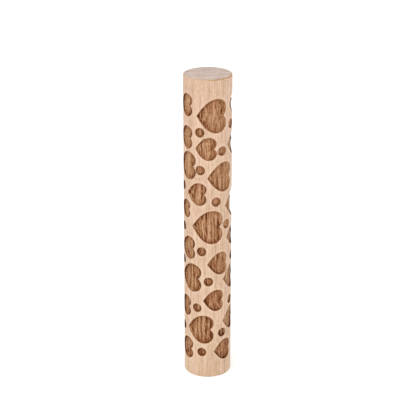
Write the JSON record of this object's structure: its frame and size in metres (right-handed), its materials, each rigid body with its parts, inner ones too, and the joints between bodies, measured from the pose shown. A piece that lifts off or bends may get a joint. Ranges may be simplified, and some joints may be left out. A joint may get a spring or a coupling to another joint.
{
  "type": "clay texture roller",
  "caption": "Short round beech roller engraved all round with hearts and dots, for pressing a pattern into clay, dough or paste.",
  "frame": {"origin": "centre of the lower end face, on which the roller stands", "axes": "+Z along the roller's axis, up; the front of the pattern faces -Y"},
  "size_m": [0.015, 0.015, 0.1],
  "materials": {
    "beech": "bare sanded beech, the engraving burnt brown"
  },
  "bodies": {
    "root": {"roller": "beech"}
  },
  "joints": []
}
